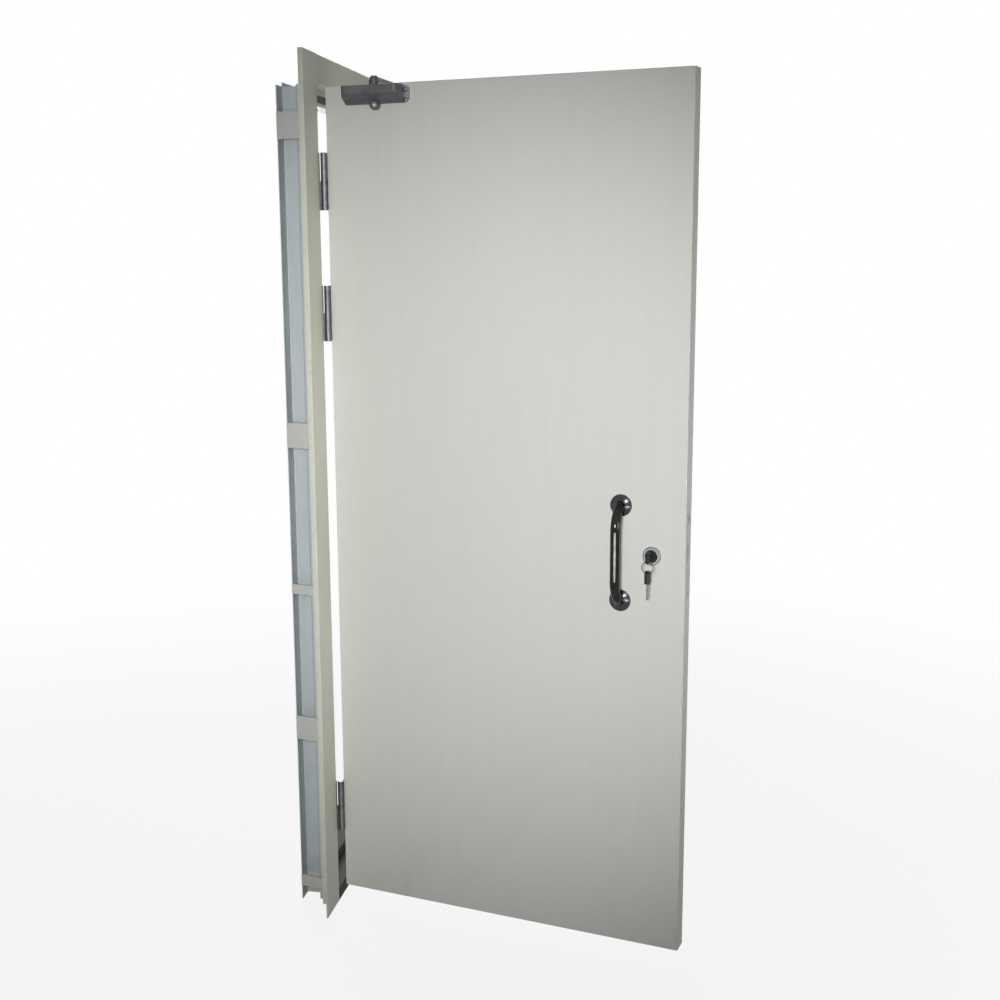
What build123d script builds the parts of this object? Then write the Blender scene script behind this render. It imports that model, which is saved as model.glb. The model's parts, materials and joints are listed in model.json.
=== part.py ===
from build123d import *
import os
from math import acos, cos, degrees, radians, sin

# A single-leaf steel fire door in its four-sided folded frame, standing open.
# Millimetres. X runs from the hinge side to the lock side, Y from the pull side
# to the push side and Z up. The origin is on the underside of the threshold,
# in the middle of the doorway and of the frame's depth.

# Leaf
LEAF_WIDTH = 910.0
LEAF_HEIGHT = 2050.0
LEAF_THICKNESS = 45.0
LEAF_SHEET = 1.5
PAN_SEAM = 1.0
PAN_FOLD = 2.0
EDGE_GAP = 5.0
OPEN_ANGLE = 103.0

# Frame of folded sheet
FRAME_SHEET = 2.0
FOLD_RADIUS = 3.0
FRAME_DEPTH = 100.0
REBATE_DEPTH = 52.0
STOP_HEIGHT = 34.0
JAMB_FACE = 105.0
HEAD_FACE = 70.0
FACE_LIP = 12.0
LIP_FOOT = 40.0
BACK_FLANGE = 44.0
SILL_HEIGHT = 35.0
SILL_STOP = 25.0

# Straps across the open back of the frame: middle height and width of each
STRAP_THICKNESS = 2.5
STRAP_REACH = 35.0
JAMB_STRAPS = ((56.0, 31.0), (483.0, 63.0), (854.0, 25.0), (1250.0, 63.0), (2000.0, 64.0))
HEAD_STRAP_WIDTH = 60.0
HEAD_STRAP_SPACING = 560.0

# Seals on the stops
SEAL_THICKNESS = 2.0
SEAL_WIDTH = 18.0
SEAL_END = 20.0

# Lift-off hinges
PIN_STANDOFF = 11.0
HINGE_HEIGHT = 136.0
KNUCKLE_RADIUS = 8.0
HINGE_PIN_RADIUS = 4.5
HINGE_PIN_LENGTH = 52.0
PIN_CLEARANCE = 0.1
WASHER_RADIUS = 9.2
WASHER_HEIGHT = 3.0
KNUCKLE_GAP = 0.3
HINGE_PLATE = 2.0
HINGE_PLATE_WIDTH = 36.0
PLATE_CLEARANCE = 0.8
WEB_START = 5.2
LOWER_HINGE_UP = 228.0
UPPER_HINGE_DOWN = 222.0
SECOND_HINGE_DOWN = 538.0

# Door closer on the pull face, its plate, body, spindle and dome cap
CLOSER_INSET = 58.0
CLOSER_PLATE_LENGTH = 169.0
CLOSER_PLATE_HEIGHT = 38.0
CLOSER_PLATE = 5.0
CLOSER_PLATE_CORNER = 10.0
CLOSER_BODY_INSET = 8.0
CLOSER_BODY_LENGTH = 148.0
CLOSER_BODY_HEIGHT = 41.0
CLOSER_BODY_DEPTH = 42.0
CLOSER_FRONT = 19.0
CLOSER_FOOT = 14.0
CLOSER_TOP_GAP = 6.0
CLOSER_EDGE_RADIUS = 4.0
CLOSER_END_RADIUS = 10.0
SPINDLE_FROM_EDGE = 149.0
SPINDLE_OUT = 30.0
SPINDLE_RADIUS = 12.0
SPINDLE_GAP = 0.3
NUT_RADIUS = 8.0
NUT_HEIGHT = 3.0
CAP_RADIUS = 12.0
CAP_DROP = 16.0

# Closer arms: the shoe's pivot is measured from the hinge pin
SHOE_PIVOT_ALONG = 450.0
SHOE_PIVOT_OUT = 35.0
ARM_RISE = 5.0
ARM_THICKNESS = 6.0
ARM_GAP = 5.0
ARM_WIDTH = 20.0
FOREARM_THICKNESS = 5.0
FOREARM_WIDTH = 16.0
ELBOW_PIN_RADIUS = 4.0
ELBOW_WASHER_RADIUS = 7.0
ELBOW_CLEARANCE = 0.3
ELBOW_PIN_PROUD = 2.0
SHOE_WIDTH = 34.0
SHOE_PLATE = 4.0
SHOE_HEIGHT = 28.0
SHOE_TONGUE = 5.0
SHOE_TONGUE_WIDTH = 24.0
SHOE_LIFT = 3.0

# Bow handles, one on each face
HANDLE_BACKSET = 155.0
HANDLE_HEIGHT = 970.5
HANDLE_SPACING = 226.0
HANDLE_OUT = 43.0
HANDLE_BEND = 60.0
HANDLE_BAR_RADIUS = 11.0
ROSE_RADIUS = 26.0
ROSE_THICKNESS = 7.0
ROSE_RIM = 1.5
ROSE_SEAT = 14.0
ROSE_BULGE = 1.0

# Lock: rosettes, cylinders, turning plug and keys
LOCK_BACKSET = 79.0
LOCK_HEIGHT = 970.0
ROSETTE_RADIUS = 22.0
ROSETTE_THICKNESS = 7.0
ROSETTE_CHAMFER = 2.5
CYLINDER_RADIUS = 15.0
CYLINDER_PROUD = 1.0
CYLINDER_FIT = 0.1
PLUG_RADIUS = 7.0
PLUG_DEPTH = 6.0
PLUG_FIT = 0.08
PLUG_END_GAP = 0.2
KEY_BLADE = 2.4
KEY_BLADE_HEIGHT = 8.0
KEY_NECK = 4.0
KEY_BLADE_LENGTH = 38.0
KEY_TIP = 3.5
KEY_CUT_START = 9.0
KEY_CUT_PITCH = 5.0
KEY_CUT_WIDTH = 4.0
KEY_CUT_DEPTHS = (1.6, 2.6, 1.1, 2.2, 1.4)
BOW_LENGTH = 30.0
BOW_HEIGHT = 23.0
BOW_THICKNESS = 7.0
BOW_CORNER = 8.0
BOW_HOLE_RADIUS = 2.5
BOW_HOLE_INSET = 6.0
BOW_HOLE_DROP = 6.0
RING_RADIUS = 13.5
RING_WIRE = 1.1
RING_REST = 0.6

# Mortised lock front, its bolt, and the strike plate
FOREND_WIDTH = 24.0
FOREND_HEIGHT = 200.0
FOREND_THICKNESS = 2.5
FOREND_FIT = 0.2
BOLT_WIDTH = 12.0
BOLT_HEIGHT = 32.0
BOLT_LENGTH = 30.0
BOLT_FIT = 0.3
STRIKE_WIDTH = 30.0
STRIKE_HEIGHT = 170.0
STRIKE_FIT = 0.2

# Places worked out from the sizes above
rebate_x = LEAF_WIDTH / 2 + EDGE_GAP
soffit_x = rebate_x - STOP_HEIGHT
face_y = -FRAME_DEPTH / 2
stop_y = face_y + REBATE_DEPTH
back_y = FRAME_DEPTH / 2
leaf_bottom = SILL_HEIGHT + EDGE_GAP
leaf_top = leaf_bottom + LEAF_HEIGHT
head_z = leaf_top + EDGE_GAP
head_soffit_z = head_z - STOP_HEIGHT
frame_top = head_z + HEAD_FACE
sill_stop_z = SILL_HEIGHT + SILL_STOP

# Leaf directions: u along the leaf from the hinge pin, v through its thickness
pin_x = -rebate_x + EDGE_GAP / 2
pin_y = face_y - PIN_STANDOFF
leaf_u = Vector(cos(radians(OPEN_ANGLE)), -sin(radians(OPEN_ANGLE)), 0)
leaf_v = Vector(sin(radians(OPEN_ANGLE)), cos(radians(OPEN_ANGLE)), 0)
leaf_plan = Plane(origin=(pin_x, pin_y, 0), x_dir=leaf_u, z_dir=(0, 0, 1))
edge_u = EDGE_GAP / 2
pull_v = PIN_STANDOFF
push_v = pull_v + LEAF_THICKNESS
middle_u = edge_u + LEAF_WIDTH / 2
middle_v = pull_v + LEAF_THICKNESS / 2
middle_z = leaf_bottom + LEAF_HEIGHT / 2
handle_u = edge_u + LEAF_WIDTH - HANDLE_BACKSET
handle_z = leaf_bottom + HANDLE_HEIGHT
lock_u = edge_u + LEAF_WIDTH - LOCK_BACKSET
lock_z = leaf_bottom + LOCK_HEIGHT
spindle_u = edge_u + SPINDLE_FROM_EDGE
spindle_v = pull_v - SPINDLE_OUT
closer_top = leaf_top - CLOSER_TOP_GAP


def leaf_point(u, v, z):
    """A point given in the leaf's own directions."""
    return leaf_plan.from_local_coords(Vector(u, v, z))


def pull_plane(u, z, out=0.0):
    """A plane on the pull face, its normal pointing away from the leaf."""
    return Plane(origin=leaf_point(u, pull_v - out, z), x_dir=leaf_u, z_dir=-leaf_v)


def push_plane(u, z, out=0.0):
    """A plane on the push face, its normal pointing away from the leaf."""
    return Plane(origin=leaf_point(u, push_v + out, z), x_dir=-leaf_u, z_dir=leaf_v)


def upright_plane(u, z, out):
    """A plane across the leaf: x away from the pull face, y up."""
    return Plane(origin=leaf_point(u, pull_v - out, z), x_dir=-leaf_v, z_dir=-leaf_u)


def save(part, name):
    """Label one finished piece and write it."""
    part.label = name
    export_step(part, f"parts/{name}.step")


os.makedirs("parts", exist_ok=True)

# Frame planes: x away from the opening, y into the frame's depth
hinge_side = Plane(origin=(-rebate_x, face_y, 0), x_dir=(-1, 0, 0), z_dir=(0, 0, -1))
lock_side = Plane(origin=(rebate_x, face_y, 0), x_dir=(1, 0, 0), z_dir=(0, 0, 1))
head_side = Plane(origin=(0, face_y, head_z), x_dir=(0, 0, 1), z_dir=(-1, 0, 0))
flange_end = BACK_FLANGE - STOP_HEIGHT


def frame_fold(face_width):
    """The visible line of the folded frame sheet, from its lip to its back flange."""
    return (
        (face_width, FACE_LIP),
        (face_width, 0),
        (0, 0),
        (0, REBATE_DEPTH),
        (-STOP_HEIGHT, REBATE_DEPTH),
        (-STOP_HEIGHT, FRAME_DEPTH),
        (flange_end, FRAME_DEPTH),
    )


def jamb(plane, up):
    """A jamb: the whole fold up to the head, then its face plate alone, and a lip cut off at the foot."""
    with BuildPart() as piece:
        with BuildSketch(plane):
            with BuildLine() as fold:
                Polyline(*frame_fold(JAMB_FACE))
                fillet(fold.vertices(), FOLD_RADIUS)
                offset(amount=FRAME_SHEET, side=Side.RIGHT)
            make_face()
        extrude(amount=up * head_z)
        with BuildSketch(plane.offset(up * head_z)):
            with BuildLine() as face_fold:
                Polyline(*frame_fold(JAMB_FACE)[:3])
                fillet(face_fold.vertices(), FOLD_RADIUS)
                offset(amount=FRAME_SHEET, side=Side.RIGHT)
            make_face()
        extrude(amount=up * (frame_top - head_z))
        with BuildSketch(plane):
            with Locations((JAMB_FACE - FOLD_RADIUS / 2, (FOLD_RADIUS + FACE_LIP) / 2)):
                Rectangle(FOLD_RADIUS, FACE_LIP - FOLD_RADIUS)
        extrude(amount=up * LIP_FOOT, mode=Mode.SUBTRACT)
    return piece.part


def straps(plane, places):
    """Flat bars from the edge of the back flange to the back of the face plate."""
    with BuildPart() as piece:
        for place, width in places:
            with BuildSketch(plane.offset(place - width / 2)):
                with BuildLine():
                    Polyline(
                        (flange_end, FRAME_DEPTH),
                        (STRAP_REACH, FRAME_SHEET),
                        (STRAP_REACH + STRAP_THICKNESS, FRAME_SHEET),
                        (flange_end + STRAP_THICKNESS, FRAME_DEPTH),
                        close=True,
                    )
                make_face()
            extrude(amount=width)
    return piece.part


# Hinge jamb
save(jamb(hinge_side, -1), "hinge_jamb")

# Lock jamb, with a window in its rebate for the strike plate
lock_jamb_blank = jamb(lock_side, 1)
strike_plane = Plane(
    origin=(rebate_x, face_y + LEAF_THICKNESS / 2, lock_z), x_dir=(0, 1, 0), z_dir=(1, 0, 0)
)
with BuildPart() as lock_jamb:
    add(lock_jamb_blank)
    with BuildSketch(strike_plane):
        Rectangle(STRIKE_WIDTH + 2 * STRIKE_FIT, STRIKE_HEIGHT + 2 * STRIKE_FIT)
    extrude(amount=FRAME_SHEET, mode=Mode.SUBTRACT)
save(lock_jamb.part, "lock_jamb")

# Strike plate, flush in that window, with the hole that takes the bolt
with BuildPart() as strike_plate:
    with BuildSketch(strike_plane):
        RectangleRounded(STRIKE_WIDTH, STRIKE_HEIGHT, FRAME_SHEET)
        Rectangle(BOLT_WIDTH + 2 * BOLT_FIT, BOLT_HEIGHT + 2 * BOLT_FIT, mode=Mode.SUBTRACT)
    extrude(amount=FRAME_SHEET)
save(strike_plate.part, "strike_plate")

# Frame head between the jambs, its stop and back between the jambs' stops
with BuildPart() as frame_head:
    with BuildSketch(head_side):
        with BuildLine() as head_fold:
            Polyline(*frame_fold(HEAD_FACE))
            fillet(head_fold.vertices(), FOLD_RADIUS)
            offset(amount=FRAME_SHEET, side=Side.RIGHT)
        make_face()
    extrude(amount=rebate_x, both=True)
    with Locations(
        (-(soffit_x + rebate_x) / 2, (stop_y + back_y) / 2, head_z),
        ((soffit_x + rebate_x) / 2, (stop_y + back_y) / 2, head_z),
    ):
        Box(STOP_HEIGHT, back_y - stop_y, 2 * (head_z - head_soffit_z), mode=Mode.SUBTRACT)
save(frame_head.part, "frame_head")

# Straps on the two jambs and the head
save(straps(hinge_side, [(-z, width) for z, width in JAMB_STRAPS]), "hinge_jamb_straps")
save(straps(lock_side, JAMB_STRAPS), "lock_jamb_straps")
head_places = [(side * HEAD_STRAP_SPACING / 2, HEAD_STRAP_WIDTH) for side in (-1, 1)]
save(straps(head_side, head_places), "head_straps")

# Threshold: a filled sill with a raised stop behind the leaf
with BuildPart() as threshold:
    with BuildSketch() as sill_plan:
        with Locations((0, (face_y + stop_y) / 2)):
            Rectangle(2 * rebate_x, REBATE_DEPTH)
        fillet(sill_plan.vertices().sort_by(Axis.Y)[-2:], FOLD_RADIUS)
    extrude(amount=SILL_HEIGHT)
    with BuildSketch():
        with Locations((0, (stop_y + back_y) / 2)):
            Rectangle(2 * soffit_x, back_y - stop_y)
    extrude(amount=sill_stop_z)
save(threshold.part, "threshold")


def jamb_seal(side):
    """A seal strip down the stop of one jamb."""
    with BuildPart() as piece:
        with BuildSketch(Plane.XY.offset(sill_stop_z + SEAL_END)):
            with Locations((side * (soffit_x + STOP_HEIGHT / 2), stop_y - SEAL_THICKNESS / 2)):
                Rectangle(SEAL_WIDTH, SEAL_THICKNESS)
        extrude(amount=head_soffit_z - sill_stop_z - 2 * SEAL_END)
    return piece.part


save(jamb_seal(-1), "hinge_jamb_seal")
save(jamb_seal(1), "lock_jamb_seal")
with BuildPart() as head_seal:
    with BuildSketch(Plane.YZ):
        with Locations((stop_y - SEAL_THICKNESS / 2, head_soffit_z + STOP_HEIGHT / 2)):
            Rectangle(SEAL_THICKNESS, SEAL_WIDTH)
    extrude(amount=soffit_x - SEAL_END, both=True)
save(head_seal.part, "head_seal")


# Hinges: the lower knuckle and the pin on the frame, the upper knuckle on the leaf
def hinge_frame_half(z):
    """Plate in the rebate, lower knuckle, washer and pin."""
    plate_x = -rebate_x + HINGE_PLATE / 2
    plate_near = pin_y + WASHER_RADIUS + PLATE_CLEARANCE
    low = z - HINGE_HEIGHT / 2
    with BuildPart() as piece:
        with BuildSketch(Plane.XY.offset(low)):
            with Locations((plate_x, plate_near + HINGE_PLATE_WIDTH / 2)):
                Rectangle(HINGE_PLATE, HINGE_PLATE_WIDTH)
        extrude(amount=HINGE_HEIGHT)
        with BuildSketch(Plane.XY.offset(low)):
            with Locations((pin_x, pin_y)):
                Circle(KNUCKLE_RADIUS)
            with Locations((plate_x, (pin_y + WEB_START + plate_near) / 2)):
                Rectangle(HINGE_PLATE, plate_near - pin_y - WEB_START)
        extrude(amount=HINGE_HEIGHT / 2 - WASHER_HEIGHT / 2)
        with BuildSketch(Plane.XY.offset(z - WASHER_HEIGHT / 2)):
            with Locations((pin_x, pin_y)):
                Circle(WASHER_RADIUS)
        extrude(amount=WASHER_HEIGHT)
        with BuildSketch(Plane.XY.offset(z)):
            with Locations((pin_x, pin_y)):
                Circle(HINGE_PIN_RADIUS)
        extrude(amount=HINGE_PIN_LENGTH)
    return piece.part


def hinge_leaf_half(z):
    """Plate on the leaf's edge and the bored upper knuckle."""
    plate_u = edge_u - HINGE_PLATE / 2
    plate_near = WASHER_RADIUS + PLATE_CLEARANCE
    knuckle_low = z + WASHER_HEIGHT / 2 + KNUCKLE_GAP
    knuckle_height = z + HINGE_HEIGHT / 2 - knuckle_low
    with BuildPart() as piece:
        with BuildSketch(leaf_plan.offset(z - HINGE_HEIGHT / 2)):
            with Locations((plate_u, plate_near + HINGE_PLATE_WIDTH / 2)):
                Rectangle(HINGE_PLATE, HINGE_PLATE_WIDTH)
        extrude(amount=HINGE_HEIGHT)
        with BuildSketch(leaf_plan.offset(knuckle_low)):
            Circle(KNUCKLE_RADIUS)
            with Locations((plate_u, (WEB_START + plate_near) / 2)):
                Rectangle(HINGE_PLATE, plate_near - WEB_START)
        extrude(amount=knuckle_height)
        with BuildSketch(leaf_plan.offset(knuckle_low)):
            Circle(HINGE_PIN_RADIUS + PIN_CLEARANCE)
        extrude(amount=HINGE_PIN_LENGTH, mode=Mode.SUBTRACT)
    return piece.part


hinge_heights = {
    "lower_hinge": leaf_bottom + LOWER_HINGE_UP,
    "second_hinge": leaf_top - SECOND_HINGE_DOWN,
    "upper_hinge": leaf_top - UPPER_HINGE_DOWN,
}
for hinge_name, hinge_z in hinge_heights.items():
    save(hinge_frame_half(hinge_z), f"{hinge_name}_frame_half")
    save(hinge_leaf_half(hinge_z), f"{hinge_name}_leaf_half")

# Leaf: two folded pans that meet at a seam round the edge, over a solid core
lock_edge = Plane(
    origin=leaf_point(edge_u + LEAF_WIDTH, middle_v, lock_z), x_dir=leaf_v, z_dir=leaf_u
)


def leaf_pan(plane):
    """One tray of the leaf, open towards the other tray."""
    depth = (LEAF_THICKNESS - PAN_SEAM) / 2
    with BuildPart() as piece:
        with BuildSketch(plane):
            Rectangle(LEAF_WIDTH, LEAF_HEIGHT)
        extrude(amount=-depth)
        outer_face = piece.faces().sort_by(Axis(plane.origin, plane.z_dir))[-1]
        fillet(outer_face.edges(), PAN_FOLD)
        with BuildSketch(plane.offset(-LEAF_SHEET)):
            Rectangle(LEAF_WIDTH - 2 * LEAF_SHEET, LEAF_HEIGHT - 2 * LEAF_SHEET)
        extrude(amount=-depth, mode=Mode.SUBTRACT)
        with BuildSketch(lock_edge):
            Rectangle(FOREND_WIDTH + 2 * FOREND_FIT, FOREND_HEIGHT + 2 * FOREND_FIT)
        extrude(amount=-FOREND_THICKNESS, mode=Mode.SUBTRACT)
    return piece.part


save(leaf_pan(pull_plane(middle_u, middle_z)), "leaf_pull_pan")
save(leaf_pan(push_plane(middle_u, middle_z)), "leaf_push_pan")

with BuildPart() as leaf_core:
    with BuildSketch(pull_plane(middle_u, middle_z, -LEAF_SHEET)):
        Rectangle(LEAF_WIDTH - 2 * LEAF_SHEET, LEAF_HEIGHT - 2 * LEAF_SHEET)
    extrude(amount=-(LEAF_THICKNESS - 2 * LEAF_SHEET))
    with BuildSketch(lock_edge):
        Rectangle(FOREND_WIDTH + 2 * FOREND_FIT, FOREND_HEIGHT + 2 * FOREND_FIT)
    extrude(amount=-FOREND_THICKNESS, mode=Mode.SUBTRACT)
    with BuildSketch(lock_edge):
        Rectangle(BOLT_WIDTH + 2 * BOLT_FIT, BOLT_HEIGHT + 2 * BOLT_FIT)
    extrude(amount=-BOLT_LENGTH, mode=Mode.SUBTRACT)
save(leaf_core.part, "leaf_core")

# Lock front, flush in the leaf's edge, with the bolt drawn back
with BuildPart() as lock_forend:
    with BuildSketch(lock_edge):
        RectangleRounded(FOREND_WIDTH, FOREND_HEIGHT, FOREND_THICKNESS)
        Rectangle(BOLT_WIDTH + 2 * BOLT_FIT, BOLT_HEIGHT + 2 * BOLT_FIT, mode=Mode.SUBTRACT)
    extrude(amount=-FOREND_THICKNESS)
save(lock_forend.part, "lock_forend")

with BuildPart() as lock_bolt:
    with BuildSketch(lock_edge):
        Rectangle(BOLT_WIDTH, BOLT_HEIGHT)
    extrude(amount=-BOLT_LENGTH)
save(lock_bolt.part, "lock_bolt")


# Bow handles and their roses
def bow_handle(plane):
    """A round bar bowed out from the leaf, cut flat where it meets its two roses."""
    end_turn = degrees(acos((HANDLE_BEND - HANDLE_OUT) / HANDLE_BEND))
    rose_turn = acos((HANDLE_BEND - HANDLE_OUT + ROSE_THICKNESS) / HANDLE_BEND)
    straight = HANDLE_SPACING / 2 - HANDLE_BEND * sin(rose_turn)
    profile = Plane(plane.origin, x_dir=plane.z_dir, z_dir=plane.x_dir)
    with BuildPart() as piece:
        with BuildLine(profile):
            bar = Line((HANDLE_OUT, -straight), (HANDLE_OUT, straight))
            upper = JernArc(bar @ 1, bar % 1, HANDLE_BEND, end_turn)
            JernArc(bar @ 0, -(bar % 0), HANDLE_BEND, -end_turn)
        with BuildSketch(Plane(upper @ 1, z_dir=-(upper % 1))):
            Circle(HANDLE_BAR_RADIUS)
        sweep()
        split(bisect_by=plane.offset(ROSE_THICKNESS), keep=Keep.TOP)
    return piece.part


def handle_roses(plane):
    """Two turned roses that swell from a thin rim to a flat seat for the bar."""
    with BuildPart() as piece:
        for end in (-1, 1):
            middle = plane.origin + plane.y_dir * (end * HANDLE_SPACING / 2)
            with BuildSketch(Plane(middle, x_dir=plane.x_dir, z_dir=-plane.y_dir)):
                with BuildLine():
                    Polyline(
                        (ROSE_SEAT, ROSE_THICKNESS),
                        (0, ROSE_THICKNESS),
                        (0, 0),
                        (ROSE_RADIUS, 0),
                        (ROSE_RADIUS, ROSE_RIM),
                    )
                    SagittaArc((ROSE_RADIUS, ROSE_RIM), (ROSE_SEAT, ROSE_THICKNESS), -ROSE_BULGE)
                make_face()
            revolve(axis=Axis(middle, plane.z_dir))
    return piece.part


for side_name, side_plane in (("pull", pull_plane), ("push", push_plane)):
    handle_plane = side_plane(handle_u, handle_z)
    save(bow_handle(handle_plane), f"{side_name}_handle")
    save(handle_roses(handle_plane), f"{side_name}_handle_roses")


# Lock rosettes and cylinders
def lock_rosette(plane):
    """A bevelled ring round the lock cylinder."""
    with BuildPart() as piece:
        with BuildSketch(plane):
            Circle(ROSETTE_RADIUS)
            Circle(CYLINDER_RADIUS + CYLINDER_FIT, mode=Mode.SUBTRACT)
        extrude(amount=ROSETTE_THICKNESS)
        circles = piece.edges().filter_by(GeomType.CIRCLE)
        front_circles = circles.group_by(Axis(plane.origin, plane.z_dir))[-1]
        chamfer(front_circles.sort_by(SortBy.RADIUS)[-1], ROSETTE_CHAMFER)
    return piece.part


def lock_cylinder(plane):
    """The cylinder's round face, bored for the plug."""
    with BuildPart() as piece:
        with BuildSketch(plane):
            Circle(CYLINDER_RADIUS)
        extrude(amount=cylinder_out)
        with BuildSketch(plane.offset(cylinder_out)):
            Circle(PLUG_RADIUS + PLUG_FIT)
        extrude(amount=-(PLUG_DEPTH + PLUG_END_GAP), mode=Mode.SUBTRACT)
    return piece.part


def lock_plug(plane):
    """The round plug that a key turns."""
    with BuildPart() as piece:
        with BuildSketch(plane.offset(cylinder_out)):
            Circle(PLUG_RADIUS)
        extrude(amount=-PLUG_DEPTH)
    return piece.part


cylinder_out = ROSETTE_THICKNESS + CYLINDER_PROUD
for side_name, side_plane in (("pull", pull_plane), ("push", push_plane)):
    lock_plane = side_plane(lock_u, lock_z)
    save(lock_rosette(lock_plane), f"{side_name}_lock_rosette")
    save(lock_cylinder(lock_plane), f"{side_name}_lock_cylinder")
    save(lock_plug(lock_plane), f"{side_name}_lock_plug")


# Keys: one in the plug, a spare hanging below it on a ring
def key_bow(plane, hole_drop):
    """A moulded bow from its shoulder outwards, with the ring's hole near its end."""
    with BuildPart() as piece:
        with BuildSketch(plane):
            with Locations((BOW_LENGTH / 2, 0)):
                RectangleRounded(BOW_LENGTH, BOW_HEIGHT, BOW_CORNER)
            with Locations((BOW_LENGTH - BOW_HOLE_INSET, -hole_drop)):
                Circle(BOW_HOLE_RADIUS, mode=Mode.SUBTRACT)
        extrude(amount=BOW_THICKNESS / 2, both=True)
    return piece.part


key_plane = upright_plane(lock_u, lock_z, cylinder_out + KEY_NECK)
save(key_bow(key_plane, BOW_HOLE_DROP), "key_bow")

# The neck of the key's blade, between the plug and the bow
with BuildPart() as key_blade:
    with BuildSketch(key_plane):
        with Locations((-KEY_NECK / 2, 0)):
            Rectangle(KEY_NECK, KEY_BLADE_HEIGHT)
    extrude(amount=KEY_BLADE / 2, both=True)
save(key_blade.part, "key_blade")

ring_out = cylinder_out + KEY_NECK + BOW_LENGTH - BOW_HOLE_INSET
ring_top = lock_z - BOW_HOLE_DROP - RING_REST
ring_bottom = ring_top - 2 * RING_RADIUS
with BuildPart() as key_ring:
    with Locations(pull_plane(lock_u, ring_top - RING_RADIUS, ring_out)):
        Torus(RING_RADIUS, RING_WIRE)
save(key_ring.part, "key_ring")

spare_shoulder = ring_bottom - RING_REST - (BOW_LENGTH - BOW_HOLE_INSET)
spare_plane = Plane(
    origin=leaf_point(lock_u, pull_v - ring_out, spare_shoulder), x_dir=(0, 0, 1), z_dir=leaf_u
)
save(key_bow(spare_plane, 0), "spare_key_bow")

# Spare blade: its tip bevelled, its one edge cut to the lock's pins
with BuildPart() as spare_key_blade:
    with BuildSketch(spare_plane) as blade_outline:
        with Locations((-KEY_BLADE_LENGTH / 2, 0)):
            Rectangle(KEY_BLADE_LENGTH, KEY_BLADE_HEIGHT)
        chamfer(blade_outline.vertices().sort_by(Axis.X)[:2], KEY_TIP)
        for cut, depth in enumerate(KEY_CUT_DEPTHS):
            cut_middle = -KEY_CUT_START - cut * KEY_CUT_PITCH
            with BuildLine():
                Polyline(
                    (cut_middle - KEY_CUT_WIDTH / 2, KEY_BLADE_HEIGHT / 2),
                    (cut_middle, KEY_BLADE_HEIGHT / 2 - depth),
                    (cut_middle + KEY_CUT_WIDTH / 2, KEY_BLADE_HEIGHT / 2),
                    close=True,
                )
            make_face(mode=Mode.SUBTRACT)
    extrude(amount=KEY_BLADE / 2, both=True)
save(spare_key_blade.part, "spare_key_blade")

# Closer plate on the pull face
closer_plate_plane = pull_plane(
    edge_u + CLOSER_INSET + CLOSER_PLATE_LENGTH / 2, closer_top - CLOSER_PLATE_HEIGHT / 2
)
with BuildPart() as closer_plate:
    with BuildSketch(closer_plate_plane):
        RectangleRounded(CLOSER_PLATE_LENGTH, CLOSER_PLATE_HEIGHT, CLOSER_PLATE_CORNER)
    extrude(amount=CLOSER_PLATE)
save(closer_plate.part, "closer_plate")


def cap_ball(keep):
    """The ball round the spindle's lower end, cut at the closer body's underside."""
    with BuildPart() as piece:
        with Locations(leaf_point(spindle_u, spindle_v, body_bottom - CAP_DROP + CAP_RADIUS)):
            Sphere(CAP_RADIUS)
        split(bisect_by=Plane.XY.offset(body_bottom), keep=keep)
    return piece.part


# Closer body: a deep upper half, a lower half that slopes back, rounded ends, and the ball's top
body_u = edge_u + CLOSER_INSET + CLOSER_BODY_INSET
body_bottom = closer_top - CLOSER_BODY_HEIGHT
with BuildPart() as closer_body:
    with BuildSketch(upright_plane(body_u, closer_top, CLOSER_PLATE)):
        with BuildLine():
            Polyline(
                (0, 0),
                (CLOSER_BODY_DEPTH, 0),
                (CLOSER_BODY_DEPTH, -CLOSER_FRONT),
                (CLOSER_FOOT, -CLOSER_BODY_HEIGHT),
                (0, -CLOSER_BODY_HEIGHT),
                close=True,
            )
        make_face()
    extrude(amount=-CLOSER_BODY_LENGTH)
    long_edges = closer_body.edges().filter_by(Axis((0, 0, 0), leaf_u))
    fillet(long_edges.sort_by(Axis((0, 0, 0), leaf_v))[:2], CLOSER_EDGE_RADIUS)
    with BuildSketch(leaf_plan.offset(body_bottom)) as body_plan:
        with Locations((body_u + CLOSER_BODY_LENGTH / 2, pull_v - CLOSER_PLATE - CLOSER_BODY_DEPTH / 2)):
            Rectangle(CLOSER_BODY_LENGTH, CLOSER_BODY_DEPTH)
        fillet(body_plan.vertices().sort_by(Axis.Y)[:2], CLOSER_END_RADIUS)
    extrude(amount=CLOSER_BODY_HEIGHT, mode=Mode.INTERSECT)
    add(cap_ball(Keep.TOP))
save(closer_body.part, "closer_body")

# Cap: the ball's lower part, under the body
save(cap_ball(Keep.BOTTOM), "closer_cap")

# Closer arms: with the leaf and the frame they make a parallelogram
spindle_point = leaf_point(spindle_u, spindle_v, 0)
shoe_point = Vector(pin_x + SHOE_PIVOT_ALONG, pin_y - SHOE_PIVOT_OUT, 0)
hinge_point = Vector(pin_x, pin_y, 0)
main_arm_span = shoe_point - hinge_point
forearm_span = spindle_point - hinge_point
elbow_point = spindle_point + main_arm_span
main_arm_z = leaf_top + ARM_RISE
main_arm_top = main_arm_z + ARM_THICKNESS
forearm_z = main_arm_top + ARM_GAP
forearm_top = forearm_z + FOREARM_THICKNESS


def arm_plane(start, span, z):
    """A level plane at the middle of an arm, its x along the arm."""
    return Plane(origin=start + span * 0.5 + Vector(0, 0, z), x_dir=span, z_dir=(0, 0, 1))


def level_plane(point, z):
    """A level plane over a point."""
    return Plane(origin=point + Vector(0, 0, z), z_dir=(0, 0, 1))


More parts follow.
